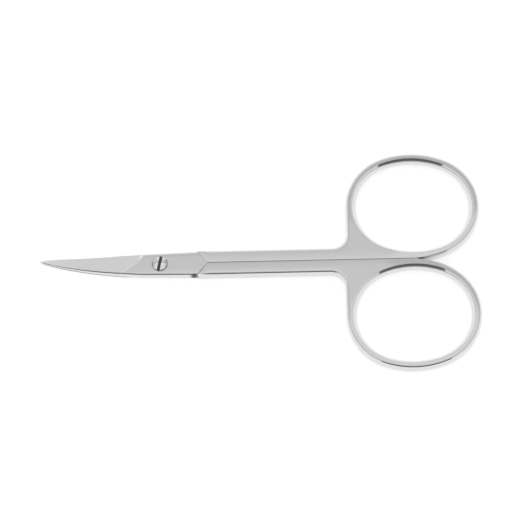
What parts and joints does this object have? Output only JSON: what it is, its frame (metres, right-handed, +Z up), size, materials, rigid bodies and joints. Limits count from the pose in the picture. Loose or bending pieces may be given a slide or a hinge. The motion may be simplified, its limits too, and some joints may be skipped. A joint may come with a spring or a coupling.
{
  "type": "cuticle scissors",
  "caption": "Curved-blade cuticle scissors of forged steel: crossed halves with oval finger bows, flat shanks and recessed laps, turning on a slotted pivot screw.",
  "frame": {"origin": "centre of the closed scissors' footprint, on the plane of the back faces that they lie on", "axes": "+X along the scissors from the blade tips to the bows, +Z up out of the face with the screw head, which the blade tips curve towards"},
  "size_m": [0.09, 0.0474, 0.0052],
  "materials": {
    "satin_steel": "satin ground faces with polished edges and bows",
    "polished_steel": "polished, with turning marks"
  },
  "bodies": {
    "back_half": {"back_half": "satin_steel", "pivot_screw": "polished_steel"},
    "front_half": {"front_half": "satin_steel"}
  },
  "joints": [
    {"name": "pivot", "type": "hinge", "parent": "back_half", "child": "front_half", "pos_m": [-0.0207, 0.00035, 0.0015], "axis": [0, 0, 1], "range_deg": [0, 140]}
  ]
}
